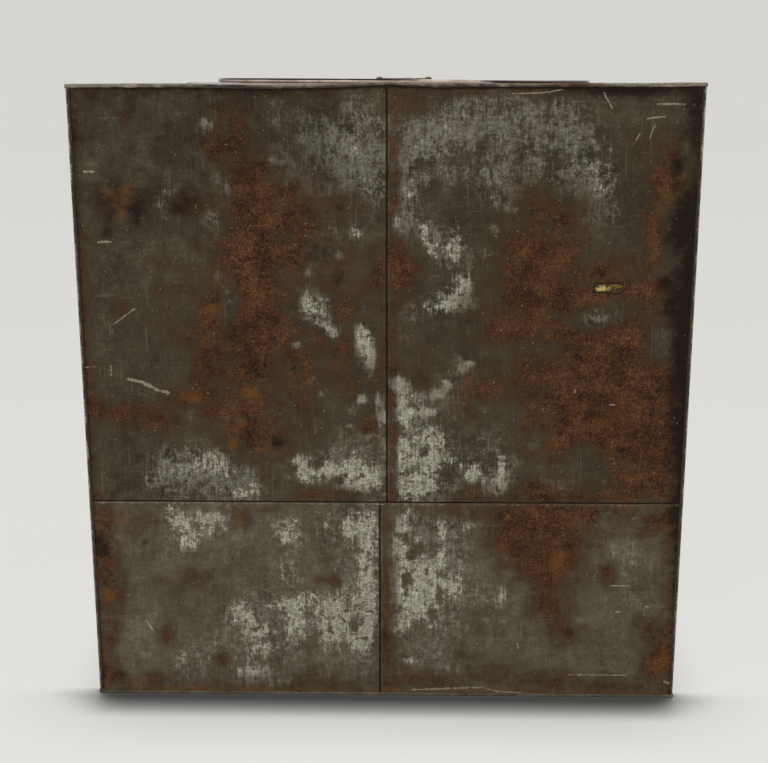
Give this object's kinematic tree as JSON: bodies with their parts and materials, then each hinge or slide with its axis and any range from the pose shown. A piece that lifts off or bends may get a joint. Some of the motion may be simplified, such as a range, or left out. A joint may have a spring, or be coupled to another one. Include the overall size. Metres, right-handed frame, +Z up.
{
  "type": "tea tin",
  "caption": "Large square tinplate tea tin with hooked sheet seams, turned rims, a round neck and a lift-off plug lid with a drop handle",
  "frame": {"origin": "middle of the base's underside", "axes": "+Z up; the plain back wall of the picture faces -Y, the front +Y, and +X is to the right as seen in the picture"},
  "size_m": [0.5, 0.5, 0.5258],
  "materials": {
    "bare_tin": "bare tinplate, darkened, speckled and rusted",
    "black_japan": "aged brown-black japanning, chipped to rust along the edges",
    "red_japan": "aged red-brown japanning, worn at the rims",
    "iron_wire": "dark oxidised iron wire and strap"
  },
  "bodies": {
    "tin": {"back_lower_left": "bare_tin", "back_lower_right": "bare_tin", "back_upper_left": "bare_tin", "back_upper_right": "bare_tin", "front_lower_left": "black_japan", "front_lower_right": "black_japan", "front_upper_left": "black_japan", "front_upper_right": "black_japan", "left_lower_back": "black_japan", "left_lower_front": "black_japan", "left_upper_back": "black_japan", "left_upper_front": "black_japan", "right_lower_back": "black_japan", "right_lower_front": "black_japan", "right_upper_back": "black_japan", "right_upper_front": "black_japan", "base_back_left": "bare_tin", "base_back_right": "bare_tin", "base_front_left": "bare_tin", "base_front_right": "bare_tin", "top_back_left": "red_japan", "top_back_right": "red_japan", "top_front_left": "red_japan", "top_front_right": "red_japan", "neck_ring": "red_japan"},
    "lid": {"lid_panel": "red_japan", "lid_rim_wire": "iron_wire", "lid_plug_ring": "bare_tin", "handle_boss": "red_japan", "handle_strap": "iron_wire", "handle_rivet_left": "iron_wire", "handle_rivet_right": "iron_wire"},
    "bail": {"bail": "iron_wire"}
  },
  "joints": [
    {"name": "lid_lift", "type": "slide", "parent": "tin", "child": "lid", "axis": [0, 0, 1], "range_m": [0, 0.2]},
    {"name": "bail_swing", "type": "hinge", "parent": "lid", "child": "bail", "pos_m": [0.014, 0, 0.5233], "axis": [1, 0, 0], "range_deg": [0, 182.4]}
  ]
}
